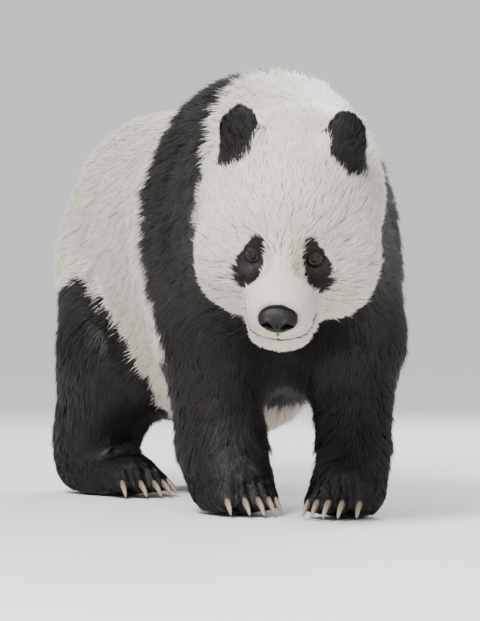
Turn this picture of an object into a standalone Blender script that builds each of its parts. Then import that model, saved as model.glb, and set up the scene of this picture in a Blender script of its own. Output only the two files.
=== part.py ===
"""A giant panda standing on all fours, life size, out to the tips of its coat.

X points to the animal's left, -Y forward and +Z up. The soles rest on z = 0.
The body is one smooth form: a distance field that blends named ellipsoids and
tapered limbs. Each sub-part is the surface of that form inside its own cell,
a prism whose faces are the thin cuts between neighbours.
"""
import math

import bmesh
import bpy
import numpy as np
import openvdb
from mathutils import Euler, Matrix, Vector

# ---------------------------------------------------------------- dimensions
SHOULDER_HEIGHT = 0.725            # the finished animal's, to the tips of the coat
PLAN_HEIGHT = 0.768                # what the measures below add up to at the shoulder
SIZE = SHOULDER_HEIGHT / PLAN_HEIGHT
GAP = 0.0003 / SIZE                # clearance of every cut
FLOOR = 0.0

SHOULDER = (0.108, -0.150, 0.500)  # the left one; the right one mirrors it
HIP = (0.100, 0.440, 0.440)
WRIST_CUT = 0.088                  # height of the cuts above the paws

# One row for each leg: side (+1 left), foot's place, elbow or knee, turn of the foot,
# the wall between the legs of a pair, and half the width of the paw's cell. A foreleg has
# its radius at the elbow, its wrist's reach outward from the foot's middle and radius, and
# half the width and length of its paw.
FORELEGS = {
    "left": dict(side=1, foot=(0.060, -0.425), elbow=(0.120, -0.270, 0.300),
                 turn=-42, wall=-0.020, cell=0.095, girth=0.091, wrist=(0.027, 0.056),
                 pad=(0.060, 0.070)),
    "right": dict(side=-1, foot=(-0.102, -0.300), elbow=(-0.121, -0.217, 0.300),
                  turn=9, wall=-0.024, cell=0.075, girth=0.083, wrist=(0.006, 0.071),
                  pad=(0.068, 0.084)),
}
HINDLEGS = {
    "left": dict(side=1, foot=(0.122, 0.395), knee=(0.108, 0.350, 0.270),
                 turn=-15, wall=-0.018, cell=0.105),
    "right": dict(side=-1, foot=(-0.168, 0.275), knee=(-0.150, 0.262, 0.270),
                  turn=21, wall=-0.022, cell=0.105),
}
BELLY_SWAY = 0.020                 # the belly hangs to the left in mid-stride

# In a paw's own frame: half the spread of the toes' roots and tips, and where both lie.
TOES = 5
FOREPAW_TOES = dict(root_spread=0.038, tip_spread=0.043, root=-0.030, tip=-0.080, heights=(0.042, 0.0255))
HINDPAW_TOES = dict(root_spread=0.040, tip_spread=0.050, root=-0.088, tip=-0.134, heights=(0.038, 0.0245))
TOE_ARCH = 0.028                   # the outer toes' tips lie this much further back

EYES_AT = Vector((-0.152, -0.708, 0.423))   # the point midway between the eyes
HEAD_TURN = -22                    # to the animal's right
HEAD_TILT = 3.5                    # crown to the animal's left
HEAD_DIP = 33                      # nose down
EYE_SPACING = 0.094
EYE_RADIUS = 0.0135
EYE_DEPTH = 0.0085                 # centre of the ball behind the eyes' plane
NOSE_CENTRE = Vector((0, -0.104, -0.046))
NOSE_RADII = (0.031, 0.017, 0.0205)
EAR_CENTRE = (0.082, 0.133, 0.131)
EAR_RADII = (0.039, 0.021, 0.056)
EAR_ROOM = 0.007                   # between an ear and the cut round its root

CLAW_LENGTH = 0.040
CLAW_RADII = (0.0076, 0.0092)
CLAW_SIDES = 5
CLAW_RINGS = 3
CLAW_DROP = (8, 58)                # angle below the horizontal, root and tip

COLOURS = {
    "white coat": ((0.80, 0.76, 0.68), 0.90),
    "black coat": ((0.015, 0.013, 0.012), 0.85),
    "nose": ((0.012, 0.011, 0.011), 0.45),
    "eye": ((0.020, 0.011, 0.007), 0.08),
    "claw": ((0.30, 0.25, 0.19), 0.40),
}


# ------------------------------------------------------------ distance forms
def turned(yaw=0.0, tilt=0.0, dip=0.0):
    """Rotation by dip about X, then tilt about Y, then yaw about Z, in degrees."""
    about_z = Matrix.Rotation(math.radians(yaw), 3, "Z")
    about_y = Matrix.Rotation(math.radians(tilt), 3, "Y")
    return about_z @ about_y @ Matrix.Rotation(math.radians(dip), 3, "X")


HEAD_AXES = turned(HEAD_TURN, HEAD_TILT, HEAD_DIP)


def ear_turn(side):
    """An ear faces outward and leans back a little."""
    return turned(side * 28, side * 2, -14)


def from_head(point):
    """A point of the head's own frame (left, back, up from between the eyes) in the animal's frame."""
    return EYES_AT + HEAD_AXES @ Vector(point)


def local(points, origin, axes):
    """The points as seen from an origin with turned axes."""
    return (points - np.array(origin)) @ np.array(axes)


def ellipsoid(points, centre, radii):
    offset = points - np.array(centre)
    radii = np.array(radii)
    reach = np.linalg.norm(offset / radii, axis=1)
    slope = np.linalg.norm(offset / radii**2, axis=1)
    return reach * (reach - 1) / np.maximum(slope, 1e-6)


def limb(points, start, end, start_radius, end_radius, stretch=(1, 1, 1)):
    """A tapered rod with round ends; stretch widens it along X, Y or Z."""
    stretch = np.array(stretch)
    axis = (np.array(end) - np.array(start)) / stretch
    offset = (points - np.array(start)) / stretch
    along = np.clip(offset @ axis / (axis @ axis), 0, 1)
    radius = start_radius + (end_radius - start_radius) * along
    return np.linalg.norm(offset - along[:, None] * axis, axis=1) - radius


def blend(first, second, reach):
    """The union of two forms, with a fillet about as wide as reach."""
    overlap = np.maximum(reach - np.abs(first - second), 0) / reach
    return np.minimum(first, second) - overlap**2 * reach / 4


def carve(form, hollow, reach):
    """The form less a hollow, with a rounded edge."""
    return -blend(-form, hollow, reach)


# ------------------------------------------------------------ the body's forms
def trunk_form(points):
    form = ellipsoid(points, (0, -0.115, 0.475), (0.220, 0.30, 0.270))
    for side in (-1, 1):
        belly = ellipsoid(points, (side * 0.030 + BELLY_SWAY, 0.10, 0.400), (0.165, 0.33, 0.280))
        rump = ellipsoid(points, (side * 0.045, 0.415, 0.500), (0.158, 0.24, 0.235))
        form = blend(blend(form, belly, 0.06), rump, 0.06)
    return blend(form, ellipsoid(points, (0, 0.20, 0.50), (0.205, 0.42, 0.238)), 0.06)


def neck_form(points):
    nape = from_head((0, 0.209, -0.005))
    crest = limb(points, (-0.01, -0.21, 0.574), nape, 0.190, 0.138)
    throat = limb(points, (0, -0.22, 0.44), nape, 0.200, 0.132)
    return blend(crest, throat, 0.05)


def head_form(points):
    here = local(points, EYES_AT, HEAD_AXES)
    form = ellipsoid(here, (0, 0.128, 0.015), (0.124, 0.138, 0.117))
    form = blend(form, ellipsoid(here, (0, 0.158, 0.046), (0.087, 0.122, 0.087)), 0.04)
    for side in (-1, 1):
        form = blend(form, ellipsoid(here, (side * 0.074, 0.090, -0.050), (0.076, 0.092, 0.098)), 0.03)
    form = blend(form, ellipsoid(here, (0, 0.082, 0.028), (0.082, 0.080, 0.078)), 0.03)
    bridge = limb(here, (0, 0.03, -0.018), (0, -0.078, -0.043), 0.042, 0.030, (1.15, 1, 1))
    muzzle = limb(here, (0, 0.02, -0.048), (0, -0.062, -0.058), 0.056, 0.047, (1.10, 1, 0.95))
    form = blend(form, blend(bridge, muzzle, 0.02), 0.035)
    for side in (-1, 1):
        root, tip = (side * 0.010, 0.05, -0.092), (side * 0.016, -0.045, -0.104)
        chin = limb(here, root, tip, 0.054, 0.031, (1.15, 1, 1))
        form = blend(form, chin, 0.022)
    for side in (-1, 1):
        orbit = ellipsoid(here, (side * EYE_SPACING / 2, -0.024, 0.000), (0.030, 0.021, 0.023))
        form = carve(form, orbit, 0.015)
    return form


def ear_form(points, side):
    centre = from_head((side * EAR_CENTRE[0], EAR_CENTRE[1], EAR_CENTRE[2]))
    return ellipsoid(local(points, centre, HEAD_AXES @ ear_turn(side)), (0, 0, 0), EAR_RADII)


def foreleg_form(points, leg):
    x, y = leg["foot"]
    shoulder = (leg["side"] * SHOULDER[0], SHOULDER[1], SHOULDER[2])
    outward, radius = leg["wrist"]
    wrist = (x + leg["side"] * outward, y + 0.045, 0.115)
    upper = limb(points, shoulder, leg["elbow"], 0.118, leg["girth"], (1, 1.15, 1))
    lower = limb(points, leg["elbow"], wrist, leg["girth"], radius + 0.002, (1, 1.10, 1))
    ankle = limb(points, wrist, (x, y - 0.015, 0.062), radius, 0.058)
    return blend(blend(upper, lower, 0.04), ankle, 0.04)


def toe_line(toe, plan):
    """Root and tip of a toe's rod in its paw's frame."""
    across = toe / (TOES - 1) * 2 - 1
    root = (across * plan["root_spread"], plan["root"] + TOE_ARCH * across**2 / 3, plan["heights"][0])
    tip = (across * plan["tip_spread"], plan["tip"] + TOE_ARCH * across**2, plan["heights"][1])
    return root, tip


def forepaw_form(points, leg):
    here = local(points, (*leg["foot"], FLOOR), turned(leg["turn"]))
    form = ellipsoid(here, (0, leg["pad"][1] - 0.072, 0.046), (*leg["pad"], 0.056))
    for toe in range(TOES):
        root, tip = toe_line(toe, FOREPAW_TOES)
        form = blend(form, limb(here, root, tip, 0.023, 0.0185), 0.012)
    return form


def hindleg_form(points, leg):
    x, y = leg["foot"]
    hip = (leg["side"] * HIP[0], HIP[1], HIP[2])
    hock = (x - 0.008, y + 0.072, 0.100)
    thigh = limb(points, hip, leg["knee"], 0.128, 0.108, (1, 1.15, 1))
    shank = limb(points, leg["knee"], hock, 0.110, 0.084, (1, 1.10, 1))
    return blend(thigh, shank, 0.05)


def hindpaw_form(points, leg):
    here = local(points, (*leg["foot"], FLOOR), turned(leg["turn"]))
    form = ellipsoid(here, (0, 0.0, 0.042), (0.068, 0.138, 0.052))
    for toe in range(TOES):
        root, tip = toe_line(toe, HINDPAW_TOES)
        form = blend(form, limb(here, root, tip, 0.022, 0.0175), 0.012)
    return form


def tail_form(points):
    return limb(points, (0, 0.640, 0.535), (0, 0.682, 0.405), 0.036, 0.027, (1.35, 0.9, 1))


def animal(points):
    """Distance to the tips of the coat of the whole animal, negative inside."""
    form = blend(trunk_form(points), neck_form(points), 0.07)
    form = blend(form, head_form(points), 0.04)
    for leg in FORELEGS.values():
        form = blend(form, foreleg_form(points, leg), 0.06)
        form = blend(form, forepaw_form(points, leg), 0.025)
    for leg in HINDLEGS.values():
        form = blend(form, hindleg_form(points, leg), 0.05)
        form = blend(form, hindpaw_form(points, leg), 0.03)
    for side in (-1, 1):
        form = blend(form, ear_form(points, side), 0.015)
    return blend(form, tail_form(points), 0.03)


# ------------------------------------------------------------------- objects
def clear_scene():
    for thing in list(bpy.data.objects):
        bpy.data.objects.remove(thing)


def material(name):
    found = bpy.data.materials.get(name)
    if found:
        return found
    made = bpy.data.materials.new(name)
    made.use_nodes = True
    colour, roughness = COLOURS[name]
    shader = made.node_tree.nodes["Principled BSDF"]
    shader.inputs["Base Color"].default_value = (*colour, 1)
    shader.inputs["Roughness"].default_value = roughness
    return made


def add_object(name, mesh, coat=None):
    thing = bpy.data.objects.new(name, mesh)
    bpy.context.scene.collection.objects.link(thing)
    if coat:
        mesh.materials.append(material(coat))
        mesh.shade_smooth()
        thing.parent = ANIMAL
    else:
        thing.hide_render = True
        thing.display_type = "WIRE"
    return thing


def mesh_from(name, points, faces):
    mesh = bpy.data.meshes.new(name)
    mesh.from_pydata([tuple(point) for point in points], [], [tuple(face) for face in faces])
    mesh.update()
    return mesh


def prism(name, outline, depth, place, grow=0.0):
    """A cutter: a convex outline in the place's X-Z plane, drawn clockwise from +Y, deep along Y."""
    corners = []
    count = len(outline)
    for i, corner in enumerate(outline):
        here = Vector(corner)
        before = (here - Vector(outline[i - 1])).normalized()
        after = (Vector(outline[(i + 1) % count]) - here).normalized()
        out_before = Vector((before.y, -before.x))
        out_after = Vector((after.y, -after.x))
        corners.append(here + (out_before + out_after) * grow / (1 + out_before @ out_after))
    near, far = depth[0] - grow, depth[1] + grow
    points = [place @ Vector((c.x, near, c.y)) for c in corners]
    points += [place @ Vector((c.x, far, c.y)) for c in corners]
    faces = [list(range(count)), list(range(2 * count - 1, count - 1, -1))]
    faces += [(i, i + count, (i + 1) % count + count, (i + 1) % count) for i in range(count)]
    return add_object(name, mesh_from(name, points, faces))


def box_outline(left, right, low, high):
    return [(left, low), (right, low), (right, high), (left, high)]


def cut(thing, cutter, operation):
    boolean = thing.modifiers.new(operation.title() + " " + cutter.name, "BOOLEAN")
    boolean.operation = operation
    boolean.object = cutter
    boolean.solver = "EXACT"


def coat_surface(name, corners, step, triangles, coat):
    """The animal's surface inside the box round the corners, as about that many triangles."""
    margin = 3 * step
    low = np.min(corners, axis=0) - margin
    high = np.max(corners, axis=0) + margin
    axes = [np.arange(low[i], high[i] + step, step) for i in range(3)]
    planes = []
    for x in axes[0]:
        y, z = np.meshgrid(axes[1], axes[2], indexing="ij")
        points = np.stack([np.full(y.shape, x), y, z], -1).reshape(-1, 3)
        middle = (low + high) / 2
        wall = np.max(np.abs(points - middle) - (high - low) / 2 + 1.5 * step, axis=1)
        planes.append(np.maximum(animal(points), wall).reshape(y.shape))
    grid = openvdb.FloatGrid()
    grid.copyFromArray(np.array(planes, dtype=np.float32))
    points, quads = grid.convertToQuads(isovalue=0)
    thing = add_object(name, mesh_from(name, points * step + low, quads[:, ::-1]), coat)
    decimate = thing.modifiers.new("Facets", "DECIMATE")
    decimate.ratio = min(1, triangles / (2 * len(quads)))
    return thing


# --------------------------------------------------------------------- cells
def upright(x=0.0, y=0.0, turn=0.0):
    return Matrix.Translation((x, y, 0)) @ turned(turn).to_4x4()


def ball(name, centre, radii, axes, segments, rings, coat=None):
    """A sphere stretched to its radii, with its poles on the axes' Y."""
    shape = bmesh.new()
    bmesh.ops.create_uvsphere(shape, u_segments=segments, v_segments=rings, radius=1)
    stretch = Matrix.Diagonal((*radii, 1)) @ Matrix.Rotation(math.pi / 2, 4, "X")
    bmesh.ops.transform(shape, matrix=Matrix.Translation(centre) @ axes.to_4x4() @ stretch, verts=shape.verts)
    mesh = bpy.data.meshes.new(name)
    shape.to_mesh(mesh)
    shape.free()
    return add_object(name, mesh, coat)


def paw_cell(leg, front, back):
    outline = box_outline(-leg["cell"], leg["cell"], FLOOR, WRIST_CUT)
    place = upright(*leg["foot"], leg["turn"])
    return lambda name, grow: prism(name, outline, (-front, back), place, grow)


def leg_cell(leg, armpit, flank, profile):
    """Below a plane that climbs outward from the armpit or groin, within a profile seen from the side."""
    inner = leg["wall"]
    outer = leg["side"] * 0.36
    front = [(inner, WRIST_CUT), (outer, WRIST_CUT), (outer, flank), (inner, armpit)]
    if outer < inner:
        front.reverse()
    aside = Matrix.Rotation(math.pi / 2, 4, "Z")

    def cutter(name, grow):
        slope = prism(name, front, (-0.70, 0.72), upright(), grow)
        side_view = prism(name + "_profile", profile, (-0.40, 0.40), aside, grow)
        cut(slope, side_view, "INTERSECT")
        return slope

    return cutter


def foreleg_profile(leg):
    """Seen from the side: the wall behind the elbow keeps the belly out."""
    front = leg["foot"][1] - 0.14
    elbow = leg["elbow"][1]
    return [(front, WRIST_CUT), (elbow + 0.06, WRIST_CUT), (elbow + 0.115, 0.30), (elbow + 0.115, 0.47),
            (front, 0.47)]


def hindleg_profile(leg):
    """Seen from the side: the wall ahead of the knee follows the fold of the flank."""
    knee = leg["knee"][1]
    return [(knee - 0.055, WRIST_CUT), (0.68, WRIST_CUT), (0.68, 0.48), (knee - 0.02, 0.48),
            (knee - 0.128, 0.33), (knee - 0.125, 0.21)]


def ear_cell(side):
    """An egg round the ear, wide enough to take in its root."""
    centre = from_head((side * EAR_CENTRE[0], EAR_CENTRE[1], EAR_CENTRE[2] + 0.003))
    axes = HEAD_AXES @ ear_turn(side)
    radii = [radius + EAR_ROOM for radius in EAR_RADII]
    return lambda name, grow: ball(name, centre, [radius + grow for radius in radii], axes, 12, 8)


def head_cell():
    """All in front of a plane behind the ears."""
    place = Matrix.Translation(EYES_AT) @ HEAD_AXES.to_4x4() @ Matrix.Rotation(math.pi / 2, 4, "Z")
    outline = box_outline(-0.30, 0.200, -0.25, 0.25)
    return lambda name, grow: prism(name, outline, (-0.22, 0.22), place, grow)


def neck_cell():
    """All in front of a plane ahead of the shoulders that the head leaves."""
    place = Matrix.Translation((-0.02, -0.345, 0.50)) @ turned(-15, 0, 18).to_4x4()
    place = place @ Matrix.Rotation(math.pi / 2, 4, "Z")
    outline = box_outline(-0.40, 0.0, -0.24, 0.40)
    return lambda name, grow: prism(name, outline, (-0.32, 0.32), place, grow)


def tail_cell():
    outline = box_outline(-0.09, 0.09, 0.33, 0.62)
    return lambda name, grow: prism(name, outline, (0.667, 0.80), upright(), grow)


def trunk_cell():
    outline = box_outline(-0.35, 0.35, WRIST_CUT, 0.82)
    return lambda name, grow: prism(name, outline, (-0.70, 0.74), upright(), grow)


# Each sub-part: its cell, the step of its grid, its triangles and its coat.
# A cell gives way to those above it.
PARTS = {}
for leg_name, row in FORELEGS.items():
    PARTS["forepaw_" + leg_name] = (paw_cell(row, 0.125, 0.140), 0.0060, 330, "black coat")
for leg_name, row in HINDLEGS.items():
    PARTS["hindpaw_" + leg_name] = (paw_cell(row, 0.190, 0.180), 0.0065, 350, "black coat")
PARTS["ear_right"] = (ear_cell(-1), 0.005, 170, "black coat")
PARTS["ear_left"] = (ear_cell(1), 0.005, 170, "black coat")
PARTS["head"] = (head_cell(), 0.007, 1950, "white coat")
for leg_name, row in FORELEGS.items():
    cell = leg_cell(row, 0.235, 0.46, foreleg_profile(row))
    PARTS["foreleg_" + leg_name] = (cell, 0.011, 900, "black coat")
for leg_name, row in HINDLEGS.items():
    cell = leg_cell(row, 0.20, 0.48, hindleg_profile(row))
    PARTS["hindleg_" + leg_name] = (cell, 0.011, 900, "black coat")
PARTS["neck"] = (neck_cell(), 0.011, 850, "white coat")
PARTS["tail"] = (tail_cell(), 0.007, 130, "white coat")
PARTS["trunk"] = (trunk_cell(), 0.014, 2500, "white coat")
ANIMAL_BOX = ((-0.36, -0.90, -0.03), (0.36, 0.76, 0.82))


def build_coat():
    clearances = []
    for name, (cell, step, triangles, coat) in PARTS.items():
        keep = cell(name + "_cell", 0)
        corners = np.clip([vertex.co[:] for vertex in keep.data.vertices], *ANIMAL_BOX)
        part = coat_surface(name, corners, step, triangles, coat)
        cut(part, keep, "INTERSECT")
        for clearance in clearances:
            if boxes_meet(clearance, corners):
                cut(part, clearance, "DIFFERENCE")
        clearances.append(cell(name + "_clearance", GAP))


def boxes_meet(cutter, corners):
    points = np.array([vertex.co[:] for vertex in cutter.data.vertices])
    reaches_in = np.all(points.max(axis=0) > corners.min(axis=0))
    starts_before = np.all(points.min(axis=0) < corners.max(axis=0))
    return bool(reaches_in and starts_before)


def build_eyes_and_nose():
    head = bpy.data.objects["head"]
    places = []
    for name, side in (("right", -1), ("left", 1)):
        centre = from_head((side * EYE_SPACING / 2, EYE_DEPTH, 0))
        places.append(("eye_" + name, centre, (EYE_RADIUS,) * 3, "eye"))
    places.append(("nose", from_head(NOSE_CENTRE), NOSE_RADII, "nose"))
    for name, centre, radii, coat in places:
        ball(name, centre, radii, HEAD_AXES, 14, 8, coat)
        socket = ball(name + "_socket", centre, [radius + GAP for radius in radii], HEAD_AXES, 14, 8)
        cut(head, socket, "DIFFERENCE")


def claw_mesh(name, place, grow):
    """A curved horn: rings along an arc that bends down to a small blunt tip."""
    points = []
    here = Vector((0, 0, 0))
    for ring in range(CLAW_RINGS + 1):
        along = ring / CLAW_RINGS
        drop = math.radians(CLAW_DROP[0] + (CLAW_DROP[1] - CLAW_DROP[0]) * along)
        forward = Vector((0, -math.cos(drop), -math.sin(drop)))
        up = Vector((0, -math.sin(drop), math.cos(drop)))
        if ring:
            here = here + forward * CLAW_LENGTH / CLAW_RINGS
        taper = 0.24 + 0.76 * (1 - along) ** 0.6
        start = -forward * grow if ring == 0 else forward * grow * (ring == CLAW_RINGS)
        for side in range(CLAW_SIDES):
            angle = 2 * math.pi * side / CLAW_SIDES
            across = math.cos(angle) * (CLAW_RADII[0] * taper + grow)
            height = math.sin(angle) * (CLAW_RADII[1] * taper + grow)
            points.append(place @ (here + start + Vector((across, 0, 0)) + up * height))
    last = len(points) - CLAW_SIDES
    faces = [list(range(CLAW_SIDES - 1, -1, -1)), list(range(last, last + CLAW_SIDES))]
    for ring in range(CLAW_RINGS):
        for side in range(CLAW_SIDES):
            first = ring * CLAW_SIDES + side
            second = ring * CLAW_SIDES + (side + 1) % CLAW_SIDES
            faces.append((first, second, second + CLAW_SIDES, first + CLAW_SIDES))
    return mesh_from(name, points, faces)


def build_claws(paw, leg, plan):
    for toe in range(TOES):
        root, tip = toe_line(toe, plan)
        heading = math.degrees(math.atan2(tip[0] - root[0], -(tip[1] - root[1])))
        root_point = Matrix.Translation((tip[0], tip[1] - 0.004, tip[2] + 0.006))
        place = upright(*leg["foot"], leg["turn"]) @ root_point @ turned(heading).to_4x4()
        name = f"claw_{paw}_{toe + 1}"
        add_object(name, claw_mesh(name, place, 0), "claw")
        pocket = add_object(name + "_pocket", claw_mesh(name + "_pocket", place, GAP))
        cut(bpy.data.objects[paw], pocket, "DIFFERENCE")


def centre_on_origin():
    """Moves the animal so that the origin is at the bottom centre of its box."""
    depsgraph = bpy.context.evaluated_depsgraph_get()
    points = []
    for part in ANIMAL.children:
        mesh = part.evaluated_get(depsgraph).data
        points += [part.matrix_world @ vertex.co for vertex in mesh.vertices]
    middle = (np.min(points, axis=0) + np.max(points, axis=0)) / 2
    ANIMAL.scale = (SIZE, SIZE, SIZE)
    ANIMAL.location = (-middle[0] * SIZE, -middle[1] * SIZE, FLOOR)
    for cutter in bpy.data.objects:
        if cutter.type == "MESH" and cutter.parent is None:
            cutter.parent = ANIMAL


clear_scene()
ANIMAL = bpy.data.objects.new("animal", None)
bpy.context.scene.collection.objects.link(ANIMAL)
build_coat()
build_eyes_and_nose()
for leg_name, leg_row in FORELEGS.items():
    build_claws("forepaw_" + leg_name, leg_row, FOREPAW_TOES)
for leg_name, leg_row in HINDLEGS.items():
    build_claws("hindpaw_" + leg_name, leg_row, HINDPAW_TOES)
centre_on_origin()
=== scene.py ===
"""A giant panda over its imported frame: one skin, a coat of mesh tufts, eyes, nose, lips and claws.

Lengths are metres in the frame's own axes: X to the animal's left, -Y forward, +Z up.
Places on the head are in its own axes, left, back and up from between the eyes.
"""
import math
from contextlib import contextmanager

import bmesh
import bpy
import numpy as np
from mathutils import Matrix, Vector
from mathutils.bvhtree import BVHTree
from mathutils.kdtree import KDTree


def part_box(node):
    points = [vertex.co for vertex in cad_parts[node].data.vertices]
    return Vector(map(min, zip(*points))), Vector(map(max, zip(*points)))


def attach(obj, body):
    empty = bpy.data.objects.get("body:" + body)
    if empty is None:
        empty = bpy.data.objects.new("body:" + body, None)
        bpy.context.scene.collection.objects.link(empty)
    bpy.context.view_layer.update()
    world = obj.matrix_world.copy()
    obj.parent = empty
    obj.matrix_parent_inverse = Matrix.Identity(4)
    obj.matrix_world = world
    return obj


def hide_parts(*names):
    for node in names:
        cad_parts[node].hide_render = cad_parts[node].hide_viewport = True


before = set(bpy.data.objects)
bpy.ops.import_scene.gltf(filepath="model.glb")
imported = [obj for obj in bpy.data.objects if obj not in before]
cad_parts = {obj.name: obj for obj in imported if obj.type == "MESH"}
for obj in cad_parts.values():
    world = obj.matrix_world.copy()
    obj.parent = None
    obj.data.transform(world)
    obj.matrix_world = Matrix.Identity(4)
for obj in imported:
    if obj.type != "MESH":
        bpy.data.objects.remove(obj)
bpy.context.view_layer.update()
random = np.random.default_rng(11)

# ---- the skin
VOXEL = 0.0060  # its grid
FINE_REACH = 0.112  # the face is twice subdivided this near the muzzle's root
TOE_REACH = 0.040  # and a paw once this near a claw's root
MUZZLE_ROOT = (0, 0, -0.040)
TOE_CLEFT = 0.0085  # depth of the cleft between two toes
CLEFT = 0.036  # its length
# Creases of the flank and over the right forepaw's toes: the line's turns, half its width and its depth.
FOLDS = (
    (((-0.180, 0.254, 0.445), (-0.180, 0.270, 0.410), (-0.180, 0.246, 0.378), (-0.180, 0.205, 0.338),
      (-0.170, 0.169, 0.301), (-0.153, 0.149, 0.262)), 0.011, 0.0085),
    (((-0.080, -0.312, 0.062), (-0.063, -0.308, 0.064), (-0.048, -0.312, 0.058), (-0.034, -0.301, 0.049)),
     0.005, 0.0050),
)

# ---- the coat
# Each region's depth of coat over the skin, then a tuft's length and width.
COAT = {
    "trunk": (0.0150, 0.040, 0.0021),
    "neck": (0.0150, 0.038, 0.0020),
    "tail": (0.0140, 0.036, 0.0021),
    "head": (0.0085, 0.022, 0.0015),
    "ear": (0.0060, 0.015, 0.0013),
    "foreleg": (0.0120, 0.032, 0.0018),
    "hindleg": (0.0125, 0.034, 0.0020),
    "forepaw": (0.0045, 0.013, 0.0014),
    "hindpaw": (0.0045, 0.013, 0.0014),
}
MUZZLE_COAT = (0.0022, 0.0060, 0.0009)
CHEEK_COAT = (0.0120, 0.0290, 0.0017)
EYELID_COAT = (0.0015, 0.0040, 0.0008)
CHIN_COAT = (0.0040, 0.0120, 0.0011)
TOE_COAT = (0.0028, 0.0080, 0.0012)
# Coat pieces: the nodes that each covers, its slot and its tufts.
PIECES = {
    "coat_face": ("head", "white_coat", 62000),
    "coat_crown": ("head", "white_coat", 44000),
    "coat_ears": ("ear_left ear_right", "black_coat", 13000),
    "coat_neck": ("neck", "white_coat", 44000),
    "coat_foreleg_left": ("foreleg_left", "black_coat", 36000),
    "coat_foreleg_right": ("foreleg_right", "black_coat", 35000),
    "coat_hindleg_left": ("hindleg_left", "black_coat", 26000),
    "coat_hindleg_right": ("hindleg_right", "black_coat", 31000),
    "coat_forepaws": ("forepaw_left forepaw_right", "black_coat", 27000),
    "coat_hindpaws": ("hindpaw_left hindpaw_right", "black_coat", 25000),
    "coat_tail": ("tail", "white_coat", 4000),
    "coat_trunk_left": ("trunk", "white_coat", 38000),
    "coat_trunk_right": ("trunk", "white_coat", 44000),
    "coat_rump_left": ("trunk", "white_coat", 26000),
    "coat_rump_right": ("trunk", "white_coat", 31000),
}
RUMP_STARTS = 0.24  # Y where the trunk's coat is parted into two pieces a side
CROWN_STARTS = 0.070  # the face's coat ends this far behind the eyes
LOCKS = 16000  # centres that neighbouring tufts lean towards
# A tuft's five vertices: how far along it, and the side of its middle line.
TUFT = ((0, -1), (0, 1), (0.5, -1), (0.5, 1), (1, 0))
TUFT_FACES = (0, 1, 3, 2, 2, 3, 4)  # a quad at the root, then the tip's triangle
ROOT_SUNK = 0.0006  # a tuft's root starts this far under the skin
WAVES = ((31, 9, 14), (11, 27, 17), (13, 19, 33))  # how the flow wanders over the body
UV_PATCH = 0.0015  # half of a tuft's patch on the unwrap
# Where single locks stand out of the coat: on the brow, the cheek, the forearm and the thigh.
STRAYS = ((-0.050, -0.658, 0.408), (-0.027, -0.654, 0.402), (-0.210, -0.577, 0.385), (-0.205, -0.577, 0.375),
          (0.123, -0.334, 0.272), (0.105, -0.336, 0.245), (-0.224, 0.336, 0.316))
STRAY_REACH, STRAY_RISE = 0.007, 0.55

# ---- the markings
SOFT = 0.006  # half the width of a marking's border
# The top of the black on the hind legs: Y, and its height there.
THIGH_BORDER = ((0.130, 0.140, 0.162, 0.202, 0.257, 0.317, 0.360, 0.450, 0.560),
                (0.180, 0.254, 0.300, 0.337, 0.369, 0.395, 0.385, 0.362, 0.330))
# Behind the right elbow the flank's white reaches forward: height, and Y where it ends.
ELBOW_BORDER = ((0.245, 0.280, 0.328, 0.378, 0.444, 0.500), (-0.190, -0.186, -0.166, -0.141, -0.135, -0.130))
# The middle of an eye's black patch from top to bottom, and half its width there.
PATCH_LINE = np.array([(0.0410, -0.016, 0.028), (0.0445, -0.022, 0.008),
                       (0.0520, -0.019, -0.014), (0.0575, -0.010, -0.032)])
PATCH_WIDTH = (0.0100, 0.0180, 0.0210, 0.0165)

# ---- the head
NOSE_BELOW = math.radians(22.2)  # the nose lies this far below the way the face looks
EAR_AT = (0.0774, 0.1256, 0.1237)
EAR_TURN = (28, 2, -14)  # yaw, tilt and dip of an ear on its side
EAR_HOLLOW = 0.010
EYE_OPENING = (0.0097, 0.0064, 0.0056)  # half its width, and its height above and below the corners' line
EYE_SLANT = 15  # the outer corner is higher
# A lid's rings: how far each lies outside the opening, its height over the ball or skin, and how far
# it has settled on the skin.
LID_RINGS = (
    (-0.0004, 0.0000, 0), (0.0000, 0.0009, 0), (0.0006, 0.0014, 0), (0.0014, 0.0015, 0),
    (0.0024, 0.0013, 0), (0.0034, 0.0010, 0), (0.0048, 0.0010, 0.3), (0.0068, 0.0008, 0.75),
    (0.0092, 0.0005, 1), (0.0118, -0.0008, 1),
)
BARE_RINGS = 3  # the lid's wet edge has no tufts
NOSTRIL = ((0.0085, -0.0055), (0.0138, -0.0020), (0.0228, -0.0050))  # its line's turns, across and up
NOSTRIL_WIDTH = (0.0026, 0.0040, 0.0014)
NOSE_FOOT = -0.062  # where the cleft meets the nose
CLEFT_FOOT = -0.086  # and where it meets the mouth
# The mouth's line: how far round the muzzle in degrees, and its height there.
MOUTH_LINE = ((0, 25, 50, 80, 106), (-0.0840, -0.0862, -0.0880, -0.0845, -0.0760))
MUZZLE_MIDDLE = -0.045  # the line is measured round this point, forward of the eyes
LIP = 0.0023  # half the bare edge of both lips
# Across the lips: up from the mouth's line and out from the skin, millimetres.
LIP_PROFILE = ((4.6, -1.6), (3.4, 0.5), (2.3, 1.5), (1.2, 1.5), (0.5, 0.7), (0.12, -1.2),
               (-0.5, 0.3), (-1.2, 1.1), (-2.3, 1.1), (-3.3, 0.2), (-4.2, -1.8))

# ---- colours, lights and camera
# Each tuft darkens from its tip to its root: painted shade of the coat's depth, on white and black hair
# alike.
WHITE_TIP = (0.82, 0.78, 0.70)
WHITE_ROOT_SHADE = (0.46, 0.39, 0.30)
CREAM = (0.64, 0.53, 0.38)
BLACK_TIP = (0.0125, 0.0110, 0.0105)
# The black hair's root colour is painted shade as well.
BLACK_ROOT_SHADE = (0.0035, 0.0032, 0.0032)
BROWNED = (0.024, 0.017, 0.013)
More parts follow.
